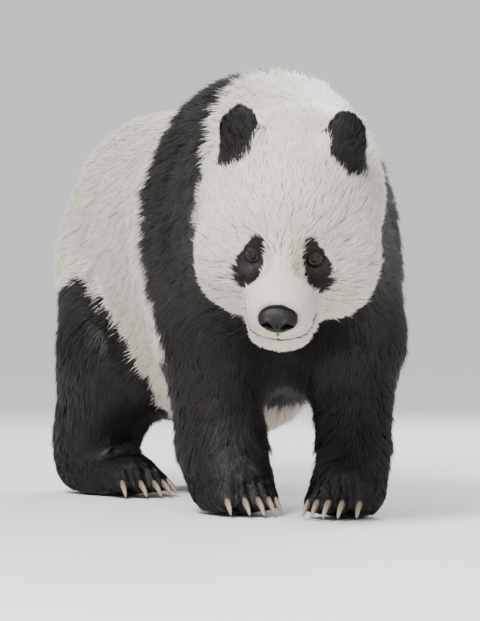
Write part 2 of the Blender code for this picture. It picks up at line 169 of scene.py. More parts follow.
# Each light's place, target, size and power.
LIGHTS = (
    ("key", (-2.4, -2.6, 3.6), (0, -0.2, 0.4), 1.4, 370),
    ("fill", (-0.6, -4.6, 1.5), (0, -0.2, 0.4), 0.8, 50),
    ("rim", (2.2, 2.6, 2.8), (0, 0.0, 0.4), 1.6, 150),
)
# The camera: level, low, and turned to the animal's right of straight ahead.
CAMERA_AT = (-1.281, -3.973, 0.283)
CAMERA_AZIMUTH = -18
CAMERA_LENS = 141.45
CAMERA_SHIFT = 0.0443


# ---- the head's axes
def centre_of(node):
    low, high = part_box(node)
    return np.array((low + high) / 2)


def unit(vectors):
    vectors = np.asarray(vectors, float)
    return vectors / np.maximum(np.linalg.norm(vectors, axis=-1, keepdims=True), 1e-12)


EYE_L = centre_of("eye_left")
EYE_R = centre_of("eye_right")
NOSE_AT = centre_of("nose")
BETWEEN_EYES = (EYE_L + EYE_R) / 2
EYE_RADIUS = float(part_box("eye_left")[1].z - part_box("eye_left")[0].z) / 2


def head_axes():
    """Rows: the head's left, back and up."""
    left = unit(EYE_L - EYE_R)
    to_nose = NOSE_AT - BETWEEN_EYES
    to_nose = unit(to_nose - left * (to_nose @ left))
    raise_it = np.array(Matrix.Rotation(-NOSE_BELOW, 3, Vector(left)))
    back = -(raise_it @ to_nose)
    return np.array([left, back, np.cross(left, back)])


HEAD = head_axes()
CLAWS = [name for name in sorted(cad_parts) if name.startswith("claw")]
FLESH = [name for name in sorted(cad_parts) if not name.startswith(("claw", "eye", "nose"))]


def in_head(points):
    """Points in the head's own axes."""
    return (np.asarray(points) - BETWEEN_EYES) @ HEAD.T


def from_head(points):
    return np.asarray(points) @ HEAD + BETWEEN_EYES


def ear_axes(side):
    """Columns: an ear's own left, back and up, in the head's axes."""
    yaw, tilt, dip = (math.radians(angle) for angle in EAR_TURN)
    turn = Matrix.Rotation(side * yaw, 3, "Z") @ Matrix.Rotation(side * tilt, 3, "Y")
    return np.array(turn @ Matrix.Rotation(dip, 3, "X"))


def nose_box():
    """The nose's box in the head's own axes."""
    places = in_head(read_points(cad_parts["nose"].data))
    return places.min(axis=0), places.max(axis=0)


def claw_root(claw):
    """Where a claw leaves its toe: the middle of its end nearest the paw."""
    points = read_points(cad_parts[claw].data)
    away = lengths((points - centre_of(paw_of(claw)))[:, :2])
    return points[np.argsort(away)[: len(points) // 4]].mean(axis=0)


def paw_of(claw):
    """claw_forepaw_left_3 is on forepaw_left."""
    return claw[5:-2]


def kind_of(node):
    """The region a node belongs to, such as foreleg."""
    return node.replace("_left", "").replace("_right", "")


# ---- small tools
def lengths(rows):
    return np.linalg.norm(rows, axis=1)


def smoothstep(value, low, high):
    t = np.clip((value - low) / (high - low), 0, 1)
    return t * t * (3 - 2 * t)


def bump(distance, width):
    return np.exp(-(distance / width) ** 2)


def along_surface(vectors, normal):
    """The vectors without their part along the normal."""
    return vectors - normal * np.sum(vectors * normal, 1)[:, None]


def from_line(points, line, widths):
    """Distance from a bent line, in units of its half width there."""
    best = np.full(len(points), 99.0)
    line = np.asarray(line, float)
    for start, end, wide, thin in zip(line, line[1:], widths, widths[1:]):
        offset = points - start
        along = np.clip(offset @ (end - start) / ((end - start) @ (end - start)), 0, 1)
        away = lengths(offset - along[:, None] * (end - start))
        best = np.minimum(best, away / (wide + (thin - wide) * along))
    return best


def tree_of(points):
    tree = KDTree(len(points))
    for index, point in enumerate(points):
        tree.insert(point, index)
    tree.balance()
    return tree


def nearest(tree, points):
    """The index of the tree's point nearest to each of these."""
    return np.array([tree.find(point)[1] for point in points])


def new_object(name, data):
    thing = bpy.data.objects.new(name, data)
    bpy.context.scene.collection.objects.link(thing)
    return thing


def mesh_of(name, points, faces):
    mesh = bpy.data.meshes.new(name)
    mesh.from_pydata(np.asarray(points).tolist(), [], [list(map(int, face)) for face in faces])
    mesh.update()
    return mesh


@contextmanager
def editing(mesh):
    """The mesh as a bmesh, written back at the end."""
    shape = bmesh.new()
    shape.from_mesh(mesh)
    yield shape
    shape.to_mesh(mesh)
    shape.free()


def with_modifiers(thing):
    """The thing's mesh as its modifiers leave it."""
    depsgraph = bpy.context.evaluated_depsgraph_get()
    return bpy.data.meshes.new_from_object(thing.evaluated_get(depsgraph))


def smooth_piece(name, points, faces, material, **floats):
    """A smooth surface that faces outward, with floats kept at its points."""
    mesh = mesh_of(name, points, faces)
    for key, values in floats.items():
        keep_float(mesh, key, values)
    with editing(mesh) as shape:
        bmesh.ops.recalc_face_normals(shape, faces=shape.faces)
    mesh.shade_smooth()
    mesh.materials.append(material)
    return new_object(name, mesh)


def read(items, key, width, kind=np.float32):
    """One of a mesh's tables, as rows of numbers."""
    flat = np.empty(len(items) * width, kind)
    items.foreach_get(key, flat)
    return flat.reshape(-1, width).astype(float if kind == np.float32 else int)


def read_points(mesh):
    return read(mesh.vertices, "co", 3)


def write_points(mesh, points):
    mesh.vertices.foreach_set("co", np.ascontiguousarray(points, np.float32).ravel())
    mesh.update()


def keep_float(mesh, name, values):
    attribute = mesh.attributes.new(name, "FLOAT", "POINT")
    attribute.data.foreach_set("value", np.ascontiguousarray(values, np.float32))


def smoothed(values, edges, rounds, share=0.5):
    """Relaxes values towards their neighbours' mean. share may differ from vertex to vertex."""
    values = np.asarray(values, float)
    rows = values.reshape(len(values), -1)
    count = len(rows)
    share = np.broadcast_to(share, count)[:, None]
    first, second = edges.T
    degree = np.maximum(np.bincount(edges.ravel(), minlength=count), 1)[:, None]
    for _ in range(rounds):
        total = [np.bincount(first, row[second], count) + np.bincount(second, row[first], count)
                 for row in rows.T]
        rows = rows + share * (np.transpose(total) / degree - rows)
    return rows.reshape(values.shape)


# ---- materials
class Shader:
    """A material's nodes, with short calls to add them."""

    def __init__(self, name):
        self.material = bpy.data.materials.new(name)
        self.material.use_nodes = True
        self.tree = self.material.node_tree
        self.surface = self.tree.nodes["Principled BSDF"]

    def give(self, socket, value):
        """Sets a socket to a number, vector or colour, or joins another socket to it."""
        if isinstance(value, bpy.types.NodeSocket):
            self.tree.links.new(value, socket)
        else:
            socket.default_value = (*value, 1) if socket.type == "RGBA" else value

    def add(self, kind, given, output=0, **settings):
        """One output of a new node that has these inputs and settings."""
        node = self.tree.nodes.new("ShaderNode" + kind)
        for key, value in settings.items():
            setattr(node, key, value)
        for name, value in given.items():
            self.give(node.inputs[name], value)
        return node.outputs[output]

    def place(self):
        return self.add("TexCoord", {}, "Object")

    def value(self, name):
        """A float kept on the mesh."""
        return self.add("Attribute", {}, "Fac", attribute_name=name)

    def mix(self, factor, first, second):
        return self.add("Mix", {0: factor, 6: first, 7: second}, 2, data_type="RGBA")

    def ramp(self, source, low, high, to_low=0.0, to_high=1.0):
        return self.add("MapRange", {0: source, 1: low, 2: high, 3: to_low, 4: to_high})

    def noise(self, scale, detail=2.0, roughness=0.5, stretch=None):
        place = self.place()
        if stretch:
            place = self.add("Mapping", {"Vector": place, "Scale": stretch})
        given = {"Vector": place, "Scale": scale, "Detail": detail, "Roughness": roughness}
        return self.add("TexNoise", given)

    def bump(self, height, distance, strength=1.0):
        self.set(Normal=self.add("Bump", {"Height": height, "Distance": distance, "Strength": strength}))

    def set(self, **inputs):
        for name, value in inputs.items():
            self.give(self.surface.inputs[name.replace("_", " ")], value)


def coat_colour(shader, tip, shade):
    """White and black hair by the mesh's markings, with painted shade at the roots, stains and tuft-to-tuft
    change.
    """
    stain = shader.ramp(shader.noise(7.0, 3.0), 0.45, 0.75)
    # From tip to root, each white tuft darkens into painted shade.
    white = shader.mix(tip, WHITE_ROOT_SHADE, WHITE_TIP)
    changes = ((shader.value("stain"), 0.75, CREAM), (stain, 0.22, CREAM), (shade, 0.28, WHITE_ROOT_SHADE))
    for source, most, colour in changes:
        white = shader.mix(shader.ramp(source, 0.0, 1.0, 0.0, most), white, colour)
    # Each black tuft also darkens into painted shade at its root.
    black = shader.mix(tip, BLACK_ROOT_SHADE, BLACK_TIP)
    black = shader.mix(shader.ramp(shade, 0.5, 1.0, 0.0, 0.6), black, BROWNED)
    return shader.mix(shader.value("black"), white, black)


def coat_material():
    shader = Shader("coat")
    shader.set(Base_Color=coat_colour(shader, shader.value("tip"), shader.value("shade")))
    shader.set(Roughness=0.50, Specular_IOR_Level=0.28)
    return shader.material


def skin_material():
    shader = Shader("skin")
    noise = shader.noise(420.0, 3.0, 0.6)
    # The skin between the tufts takes colours between the roots' painted shade and the middle of a tuft.
    hairy = coat_colour(shader, shader.ramp(noise, 0.3, 0.7, 0.0, 0.5), shader.ramp(noise, 0.3, 0.7))
    bare = shader.mix(shader.ramp(noise, 0.35, 0.65), (0.010, 0.009, 0.009), (0.030, 0.025, 0.023))
    shader.set(Base_Color=shader.mix(shader.value("bare"), hairy, bare))
    shader.set(Roughness=shader.ramp(shader.value("bare"), 0.0, 1.0, 0.85, 0.42), Specular_IOR_Level=0.35)
    shader.bump(noise, 0.0008, 0.7)
    return shader.material


def eye_material():
    """A brown iris with an upright oval pupil, in degrees from the ball's front."""
    shader = Shader("eye")
    front = shader.add("CombineXYZ", {0: shader.value("across"), 1: shader.value("high")})

    def reach(wide, tall):
        """The square of the distance from the front: 1 on an oval of these half sizes."""
        scaled = shader.add("VectorMath", {0: front, 1: (wide, tall, 1)}, operation="DIVIDE")
        return shader.add("VectorMath", {0: scaled, 1: scaled}, "Value", operation="DOT_PRODUCT")

    fibres = shader.noise(1500.0, 2.0)
    iris = shader.mix(shader.ramp(fibres, 0.3, 0.7), (0.011, 0.006, 0.004), (0.028, 0.015, 0.008))
    iris = shader.mix(shader.ramp(reach(34, 34), 0.62, 0.98), iris, (0.012, 0.007, 0.005))
    inner = shader.mix(shader.ramp(reach(9, 14), 0.75, 1.15), (0.0015, 0.0014, 0.0014), iris)
    white = shader.mix(shader.ramp(shader.noise(300.0), 0.3, 0.7), (0.07, 0.045, 0.035), (0.13, 0.095, 0.08))
    shader.set(Base_Color=shader.mix(shader.ramp(reach(36, 36), 0.92, 1.08), inner, white))
    shader.set(Roughness=0.05, Specular_IOR_Level=0.20)
    return shader.material


def nose_material():
    shader = Shader("nose")
    away = shader.add("TexVoronoi", {"Vector": shader.place(), "Scale": 850.0}, "Distance", feature="F1")
    # Darker in the grooves between the pebbles than on their tops: painted shade.
    tone = shader.mix(shader.ramp(away, 0.1, 0.7), (0.012, 0.011, 0.011), (0.005, 0.0045, 0.0045))
    # The nostrils are painted nearly black inside: painted shade in their hollows.
    shader.set(Base_Color=shader.mix(shader.value("hole"), tone, (0.001, 0.001, 0.001)))
    shader.set(Roughness=shader.ramp(away, 0.1, 0.7, 0.32, 0.5), Specular_IOR_Level=0.22)
    shader.bump(shader.ramp(away, 0.0, 0.8, 1.0, 0.0), 0.0003, 0.6)
    return shader.material


def lip_material():
    shader = Shader("lips")
    grain = shader.noise(700.0, 3.0, 0.6)
    tone = shader.mix(shader.ramp(grain, 0.3, 0.7), (0.007, 0.006, 0.006), (0.018, 0.015, 0.015))
    shader.set(Base_Color=tone, Roughness=shader.ramp(grain, 0.3, 0.7, 0.38, 0.55), Specular_IOR_Level=0.35)
    shader.bump(grain, 0.0003, 0.5)
    return shader.material


def claw_material():
    shader = Shader("claw")
    streaks = shader.noise(260.0, 3.0, 0.6, (1.0, 1.0, 0.3))
    horn = shader.mix(shader.value("along"), (0.060, 0.045, 0.034), (0.34, 0.27, 0.19))
    horn = shader.mix(shader.ramp(streaks, 0.35, 0.7, 0.0, 0.55), horn, (0.11, 0.085, 0.065))
    shader.set(Base_Color=horn, Roughness=shader.ramp(streaks, 0.3, 0.7, 0.28, 0.45), Specular_IOR_Level=0.5)
    shader.bump(streaks, 0.0003, 0.4)
    return shader.material


def floor_material():
    """Pale, and paler far off, where it meets the background."""
    shader = Shader("floor")
    tone = shader.ramp(shader.noise(1.3, 2.0), 0.3, 0.7)
    near = shader.mix(tone, (0.82, 0.82, 0.815), (0.84, 0.84, 0.835))
    length = shader.add("VectorMath", {0: shader.place()}, "Value", operation="LENGTH")
    away = shader.ramp(length, 1.5, 9.0)
    shader.set(Base_Color=shader.mix(away, near, (0.985, 0.99, 0.995)), Roughness=0.9, Specular_IOR_Level=0.1)
    return shader.material


# ---- skin
def closed_surface():
    """The flesh nodes' outside as one even mesh."""
    joined = bpy.data.meshes.new("flesh")
    with editing(joined) as shape:
        for name in FLESH:
            shape.from_mesh(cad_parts[name].data)
    thing = new_object("flesh", joined)
    remesh = thing.modifiers.new("Skin grid", "REMESH")
    remesh.mode = "VOXEL"
    remesh.voxel_size = VOXEL
    mesh = with_modifiers(thing)
    bpy.data.objects.remove(thing)
    return mesh


def keep_largest(mesh):
    """Drops what isn't joined to the main surface."""
    with editing(mesh) as shape:
        unseen = set(shape.verts)
        groups = []
        while unseen:
            group = [unseen.pop()]
            for vertex in group:
                joined = {other for edge in vertex.link_edges for other in edge.verts} & unseen
                unseen -= joined
                group += joined
            groups.append(group)
        for group in sorted(groups, key=len)[:-1]:
            bmesh.ops.delete(shape, geom=group, context="VERTS")


def refine_small_forms(mesh):
    """Splits the faces round the muzzle and eyes in four, twice, and those round the toes once."""
    for reach, toe_reach in ((FINE_REACH, TOE_REACH), (FINE_REACH * 0.93, 0)):
        with editing(mesh) as shape:
            points = np.array([vertex.co[:] for vertex in shape.verts])
            near = lengths((in_head(points) - MUZZLE_ROOT) * (1.0, 1.0, 0.95)) < reach
            for claw in CLAWS:
                near |= lengths(points - claw_root(claw)) < toe_reach
            shape.verts.ensure_lookup_table()
            edges = [edge for edge in shape.edges if all(near[vertex.index] for vertex in edge.verts)]
            bmesh.ops.subdivide_edges(shape, edges=edges, cuts=1, use_grid_fill=True)


def nearest_nodes(points):
    """For each point the flesh node nearest to it, as an index into FLESH."""
    places, owners = [], []
    for index, name in enumerate(FLESH):
        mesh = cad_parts[name].data
        here = [vertex.co for vertex in mesh.vertices] + [face.center for face in mesh.polygons]
        places += here
        owners += [index] * len(here)
    return np.array(owners)[nearest(tree_of(places), points)]


class Skin:
    """The animal's outside under the coat, with what the coat needs to know at each vertex."""

    def __init__(self):
        self.mesh = closed_surface()
        keep_largest(self.mesh)
        refine_small_forms(self.mesh)
        self.outer = read_points(self.mesh)
        self.edges = read(self.mesh.edges, "vertices", 2, np.int32)
        self.node = nearest_nodes(self.outer)
        self.kind = np.array([kind_of(name) for name in FLESH])[self.node]
        self.is_head = np.isin(self.kind, ("head", "ear"))
        self.relax_outer()
        self.settle()
        self.part_toes()
        self.press_folds()
        self.settle()
        self.measure_coat()
        self.lay_flow()
        self.lower_skin()
        self.aim_coat()
        self.mark()

    def spread(self, values, rounds):
        return smoothed(values, self.edges, rounds)

    def relax_outer(self):
        """Takes the facets out of the solids' surface, least where the forms are small."""
        share = np.full(len(self.outer), 0.5)
        share[np.isin(self.kind, ("forepaw", "hindpaw", "ear", "tail"))] = 0.22
        share[self.kind == "head"] = 0.30
        share = self.spread(share, 4)
        for push in (share, -share * 0.9) * 3:
            self.outer = smoothed(self.outer, self.edges, 6, push)
        self.outer = smoothed(self.outer, self.edges, 3, share)

    def settle(self):
        """Reads the outside's normals again after its points have moved."""
        self.outer[:, 2] = np.maximum(self.outer[:, 2], 0.0004)
        write_points(self.mesh, self.outer)
        self.normal = unit(self.spread(read(self.mesh.vertex_normals, "vector", 3), 2))
        self.face = in_head(self.outer)

    def part_toes(self):
        """The clefts between the toes, behind and between the claws."""
        for paw in [name for name in FLESH if "paw" in name]:
            roots = [claw_root(f"claw_{paw}_{toe}") for toe in range(1, 6)]
            for first, second in zip(roots, roots[1:]):
                start = (first + second) / 2
                away = unit((start - centre_of(paw)) * (1, 1, 0))
                offset = (self.outer - start) * (1, 1, 0)
                along = offset @ away
                aside = lengths(offset - along[:, None] * away)
                cleft = bump(aside, 0.0048) * smoothstep(along, -CLEFT, -0.008) * (self.outer[:, 2] > 0.004)
                cleft *= self.node == FLESH.index(paw)
                self.outer -= self.normal * (cleft * TOE_CLEFT)[:, None]

    def press_folds(self):
        """The crease of the flank before the thigh, and that over the right forepaw's inner toes."""
        for line, half_width, depth in FOLDS:
            widths = [half_width] * len(line)
            away = from_line(self.outer, line, widths)
            beside = from_line(self.outer + (0, half_width * 1.6, 0), line, widths)
            push = bump(away, 1.0) * depth - bump(beside, 1.2) * depth * 0.6
            self.outer -= self.normal * push[:, None]

    def measure_coat(self):
        """Depth of the coat, and a tuft's length and width."""
        across, back, up = self.face.T
        head = self.kind == "head"
        sizes = self.spread(np.array([COAT[kind_of(name)] for name in FLESH])[self.node], 25)
        from_nose = lengths(self.face - in_head(NOSE_AT))
        sizes = toward(sizes, MUZZLE_COAT, (1 - smoothstep(from_nose, 0.050, 0.115)) * self.is_head)
        cheek = smoothstep(np.abs(across), 0.055, 0.095) * smoothstep(-up, -0.03, 0.04)
        cheek = cheek * smoothstep(back, 0.02, 0.07) * head
        sizes = toward(sizes, CHEEK_COAT, self.spread(cheek, 10))
        eyes = in_head(np.array([EYE_L, EYE_R]))
        from_eye = np.min([lengths(self.face - eye) for eye in eyes], axis=0)
        sizes = toward(sizes, EYELID_COAT, 1 - smoothstep(from_eye, 0.018, 0.046))
        chin = smoothstep(-up, 0.098, 0.118) * (back < 0.01) * head
        sizes = toward(sizes, CHIN_COAT, self.spread(chin, 6))
        sizes[:, 1] *= self.clear_of_lips()
        toes = (1 - smoothstep(self.outer[:, 2], 0.015, 0.075)) * np.isin(self.kind, ("forepaw", "hindpaw"))
        self.depth, self.length, self.width = toward(sizes, TOE_COAT, toes).T

    def clear_of_lips(self):
        """Shortens the tufts that would hang over the lips' edges."""
        x, y, z = self.face.T
        from_mouth = np.abs(z - mouth_line(x, y))
        from_cleft = np.where((z < NOSE_FOOT) & (z > CLEFT_FOOT), np.abs(x), 1)
        near = np.minimum(from_mouth, from_cleft)
        return np.where(self.is_head & (y < -0.02), np.clip((near - 0.0010) / 0.0065, 0.25, 1), 1)

    def lay_flow(self):
        """The way the coat lies at each vertex, along the surface."""
        side = self.normal[:, 0]
        behind = smoothstep(self.normal[:, 1], 0.45, 0.95)
        under = smoothstep(-self.normal[:, 2], 0.2, 0.8)
        down = -0.55 * np.abs(side) - behind
        flow = unit(np.stack([0.10 * side, 1 - 0.9 * behind, down + 0.35 * under], 1))
        flow[np.isin(self.kind, ("foreleg", "hindleg"))] = unit([0, 0.28, -1])
        flow[self.kind == "tail"] = (0, 0.1, -1)
        nose = from_head(in_head(NOSE_AT) + (0, -0.015, 0.010))
        heads = self.kind == "head"
        flow[heads] = unit(self.outer[heads] - nose)
        for index, name in enumerate(FLESH):
            here = self.node == index
            if kind_of(name) in ("forepaw", "hindpaw"):
                ahead = centre_of(f"claw_{name}_3") - centre_of(name)
                flow[here] = unit([*ahead[:2], -0.95 * np.linalg.norm(ahead[:2])])
            if kind_of(name) == "ear":
                root = centre_of(name) - HEAD[2] * 0.045
                flow[here] = unit(self.outer[here] - root)
        wave = np.sin(self.outer @ np.transpose(WAVES) + (0.3, 1.7, 4.1))
        flow = unit(self.spread(flow, 40)) + 0.10 * wave
        self.flow = unit(along_surface(flow, self.normal))

    def lower_skin(self):
        """Sets the skin under the coat's outside by the coat's depth."""
        depth = self.spread(self.depth, 3)
        self.inner = smoothed(self.outer - self.normal * depth[:, None], self.edges, 2, 0.3)
        self.hollow_ears()
        self.shape_muzzle()
        self.inner[:, 2] = np.maximum(self.inner[:, 2], 0.0006)

    def hollow_ears(self):
        for side in (-1, 1):
            axes = ear_axes(side)
            back = HEAD.T @ axes[:, 1]
            across, _, up = ((self.face - (side * EAR_AT[0], *EAR_AT[1:])) @ axes).T
            bowl = np.clip(1 - (across / 0.034) ** 2 - ((up - 0.002) / 0.046) ** 2, 0, 1)
            push = EAR_HOLLOW * bowl**0.8 * smoothstep(-(self.normal @ back), 0.15, 0.6)
            self.inner += (push * (self.kind == "ear"))[:, None] * back

    def shape_muzzle(self):
        """The pads beside the cleft under the nose, and the cleft itself."""
        x, y, z = in_head(self.inner).T
        front = self.is_head & (y < 0.0) & (z < -0.03)
        push = bump(np.hypot(np.abs(x) - 0.020, z + 0.069), 0.015) * 0.0030
        push -= bump(x, 0.0030) * smoothstep(z, CLEFT_FOOT, CLEFT_FOOT + 0.006) * 0.0016
        self.inner += self.normal * (push * front)[:, None]

    def aim_coat(self):
        """The way from each root to where its tuft's tip rests on the coat's outside."""
        tree = tree_of(self.outer)
        lies = self.inner + self.flow * self.length[:, None] + self.normal * self.depth[:, None]
        rests = nearest(tree, lies)
        self.aim = self.spread(self.outer[rests] - self.normal[rests] * 0.0006 - self.inner, 4)
        self.ahead = nearest(tree, self.inner + self.aim * 0.62)

    def mark(self):
        """Colours, bare places, and how close and how far out the tufts stand."""
        self.black = markings(self)
        self.tuft_black = self.black[self.ahead]
        self.bare = bare_skin(self)
        self.stain = (1 - smoothstep(self.outer[:, 2], 0.05, 0.45)) * 0.5
        strays = [bump(lengths(self.outer - stray), STRAY_REACH) for stray in STRAYS]
        self.proud = STRAY_RISE * sum(strays)
        self.crowding = 1 / (self.length * self.width)


def toward(sizes, target, share):
    return sizes + (np.array(target) - sizes) * share[:, None]


# ---- markings
def round_muzzle(x, y):
    """How far round the muzzle a point is from its front, in degrees."""
    return np.degrees(np.arctan2(np.abs(x), MUZZLE_MIDDLE - y))


def mouth_line(x, y):
    """The height of the line between the lips."""
    return np.interp(round_muzzle(x, y), *MOUTH_LINE)


def on_mouth(x, y, z, reach):
    """1 on the mouth's line, fading within reach of it and past its corners."""
    line = 1 - smoothstep(np.abs(z - mouth_line(x, y)), reach * 0.75, reach * 1.25)
    return line * (1 - smoothstep(round_muzzle(x, y), 100, 108)) * (z < -0.05)


def markings(skin):
    """How black the coat is at each vertex: ears, eye patches, legs and the band over the shoulders."""
    x, y, z = skin.outer.T
    rear = -0.088 + 0.25 * x
    front_right = -0.196 - 1.35 * (0.711 - z)
    front_left = -0.185 - 3.0 * np.clip(0.600 - z, 0, 1)
    front = front_right + (front_left - front_right) * smoothstep(x, -0.03, 0.03)
    band = smoothstep(y - front, -SOFT, SOFT) * smoothstep(rear - y, -SOFT, SOFT)
    band *= np.isin(skin.kind, ("trunk", "neck", "foreleg"))
    thigh = np.interp(y, *THIGH_BORDER)
    rear_leg = smoothstep(thigh - z, -SOFT, SOFT) * np.isin(skin.kind, ("trunk", "hindleg")) * (y > 0.1)
    rear_leg *= np.maximum(smoothstep(z, 0.165, 0.195), smoothstep(y, 0.150, 0.162))
    rear_leg[(skin.kind == "trunk") & ((np.abs(x) < 0.030) | (y > 0.57))] = 0
    black = np.maximum(band, rear_leg)
    black[np.isin(skin.kind, ("foreleg", "forepaw", "hindpaw"))] = 1
    behind = y - np.interp(z, *ELBOW_BORDER)
    lowest = ELBOW_BORDER[0][0]
    flank = smoothstep(behind, -SOFT, SOFT) * smoothstep(z, lowest - SOFT, lowest + SOFT)
    right_leg = skin.node == FLESH.index("foreleg_right")
    black[right_leg] = (1 - flank)[right_leg]
    return np.maximum(skin.spread(black, 3), face_markings(skin))


def face_markings(skin):
    """The ears, the eyes' patches and the edge of the lips."""
    x, y, z = skin.face.T
    ear_foot = 0.127 - 0.90 * (np.abs(x) - 0.048)
    offset = np.stack([np.abs(x), y, z], 1) - EAR_AT
    from_ear = lengths(offset)
    outward, behind, _ = (offset @ ear_axes(1)).T
    ears = smoothstep(z - ear_foot, -0.004, 0.004) * (1 - smoothstep(from_ear, 0.058, 0.066))
    ears *= (1 - smoothstep(behind, 0.018, 0.026)) * smoothstep(outward, -0.032, -0.029)
    ears = np.maximum(ears, skin.kind == "ear") * smoothstep(outward, -0.0355, -0.0315)
    from_patch = from_line(np.stack([np.abs(x), y * 0.7, z], 1), PATCH_LINE * (1, 0.7, 1), PATCH_WIDTH)
    patch = 1 - smoothstep(from_patch + 0.04 * np.sin(z * 300), 0.94, 1.06)
    lips = on_mouth(x, y, z, LIP * 1.3)
    return np.where(skin.is_head, np.maximum(np.maximum(ears, patch), lips), 0)


def bare_skin(skin):
    """Where no tufts stand: the lips' edges, the skin behind the nose and the soles."""
    x, y, z = skin.face.T
    low, high = nose_box()
    from_nose = lengths((skin.face - (low + high) / 2) / ((high - low) / 2))
    nose = 1 - smoothstep(from_nose, 0.97, 1.02)
    cleft = (np.abs(x) < 0.0022) & (z > CLEFT_FOOT) & (z < NOSE_FOOT) & (y < MUZZLE_MIDDLE)
    sole = (skin.outer[:, 2] < 0.006) & (skin.normal[:, 2] < -0.6) & ~skin.is_head
    return np.where(skin.is_head, np.maximum(np.maximum(on_mouth(x, y, z, LIP), nose), cleft), sole)


# ---- coat
def areas(skin, triangles):
    a, b, c = (skin.inner[triangles[:, i]] for i in range(3))
    return lengths(np.cross(b - a, c - a)) / 2


def pick_evenly(weight, count):
    """Indices picked in even steps of the weight, each step a little off."""
    steps = (np.arange(count) + random.random(count)) / count * weight.sum()
    return np.minimum(np.searchsorted(np.cumsum(weight), steps), len(weight) - 1)


def make_locks(skin):
    """Sparse centres that neighbouring tufts lean towards, each with its own small habits."""
    weight = areas(skin, skin.triangles) / skin.length[skin.triangles].mean(axis=1) ** 1.5
    skin.lock_at = skin.inner[skin.triangles[pick_evenly(weight, LOCKS)]].mean(axis=1)
    skin.lock_yaw = random.normal(0, 0.13, LOCKS)
    skin.lock_length = 1 + random.normal(0, 0.08, LOCKS)
    skin.lock_rise = random.normal(0, 0.09, LOCKS)
    skin.lock_shade = random.random(LOCKS)
    skin.locks = tree_of(skin.lock_at)


def grow(skin, chosen, tufts):
    """Tufts rooted evenly on the chosen triangles, lying along the flow: all that their mesh needs."""
    triangles = skin.triangles[chosen]
    pick = pick_evenly(areas(skin, triangles) * skin.crowding[triangles].mean(axis=1), tufts)
    first, second = random.random(tufts), random.random(tufts)
    over = first + second > 1
    first[over], second[over] = 1 - first[over], 1 - second[over]
    share = np.stack([1 - first - second, first, second], 1)

    def at_root(values, corners=triangles[pick]):
        return np.einsum("ij...,ij->i...", values[corners], share)

    root, normal = at_root(skin.inner), unit(at_root(skin.normal))
    depth, width = at_root(skin.depth), at_root(skin.width)
    lock = nearest(skin.locks, root)
    yaw = random.normal(0, 0.12, tufts) + skin.lock_yaw[lock]
    size = (1 + random.normal(0, 0.13, tufts)) * skin.lock_length[lock]
    aim = at_root(skin.aim) * size[:, None]
    aim += np.cross(normal, aim) * yaw[:, None]
    heading = unit(along_surface(aim, normal))
    stand = depth * (random.normal(-0.03, 0.11, tufts) + skin.lock_rise[lock] + at_root(skin.proud))
    pull = along_surface(skin.lock_at[lock] - root, normal) * 0.30
    roll = random.normal(0, 0.35, tufts)[:, None]
    flat = np.cross(heading, normal)
    edge = flat * np.cos(roll) + normal * np.sin(roll)
    facing = unit(normal * np.cos(roll) - flat * np.sin(roll))

    points, normals = [], []
    for level, side in TUFT:
        arch = depth * (level - level**2) * 0.9 + stand * level**2
        arch -= ROOT_SUNK * (level == 0)
        half = edge * (width * (1 - 0.45 * level**1.5) / 2)[:, None]
        points.append(root + aim * level + normal * arch[:, None] + pull * level**1.6 + half * side)
        soft = unit(facing * 0.45 + normal * 0.55 + heading * (0.30 * (level - 0.45)))
        normals.append(unit(soft + edge * 0.30 * side))
    shade = np.clip(random.random(tufts) * 0.6 + skin.lock_shade[lock] * 0.4, 0, 1)
    black = at_root(skin.tuft_black) > 0.5 + np.clip(random.normal(0, 0.12, tufts), -0.4, 0.4)
    facts = {"shade": shade, "black": black, "stain": at_root(skin.stain)}
    spots = at_root(skin.places, skin.corners[chosen][pick])
    return np.stack(points, 1), np.stack(normals, 1), facts, spots


def tuft_mesh(name, points, normals, facts, spots):
    """One mesh of tufts, with each tuft's facts at its vertices and its own patch of the unwrap."""
    tufts, per = points.shape[:2]
    faces = ((np.arange(tufts) * per)[:, None] + TUFT_FACES).ravel()
    sizes = np.tile([4, 3], tufts)
    points[..., 2] = np.maximum(points[..., 2], 0.0008)
    mesh = bpy.data.meshes.new(name)
    mesh.vertices.add(tufts * per)
    mesh.vertices.foreach_set("co", points.astype(np.float32).ravel())
    mesh.loops.add(len(faces))
    mesh.loops.foreach_set("vertex_index", faces.astype(np.int32))
    mesh.polygons.add(len(sizes))
    mesh.polygons.foreach_set("loop_start", (np.cumsum(sizes) - sizes).astype(np.int32))
    mesh.polygons.foreach_set("loop_total", sizes.astype(np.int32))
    mesh.update(calc_edges=True)
    mesh.shade_smooth()
    mesh.normals_split_custom_set_from_vertices(normals.reshape(-1, 3).astype(np.float32))
    level, side = np.tile(np.transpose(TUFT), tufts)
    keep_float(mesh, "tip", level)
    for key, values in facts.items():
        keep_float(mesh, key, np.repeat(values, per))
    spots = np.repeat(spots, per, axis=0) + np.stack([side, level * 2 - 1], 1) * UV_PATCH
    uv = mesh.uv_layers.new(name="OFBake")
    uv.uv.foreach_set("vector", spots[faces].astype(np.float32).ravel())
    return mesh


def build_coat(skin):
    material = coat_material()
    node_of = skin.node[skin.triangles].min(axis=1)
    centre = skin.inner[skin.triangles].mean(axis=1)
    bare = skin.bare[skin.triangles].mean(axis=1) > 0.5
    for name, (nodes, slot, tufts) in PIECES.items():
        chosen = np.isin(node_of, [FLESH.index(node) for node in nodes.split()]) & ~bare
        if nodes == "trunk":
            chosen &= (centre[:, 0] > 0) == name.endswith("left")
            chosen &= (centre[:, 1] > RUMP_STARTS) == ("rump" in name)
        if nodes == "head":
            chosen &= (in_head(centre)[:, 1] > CROWN_STARTS) == (name == "coat_crown")
        piece = new_object(name, tuft_mesh(name, *grow(skin, np.flatnonzero(chosen), tufts)))
        piece.data.materials.append(material)
        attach(piece, "root")


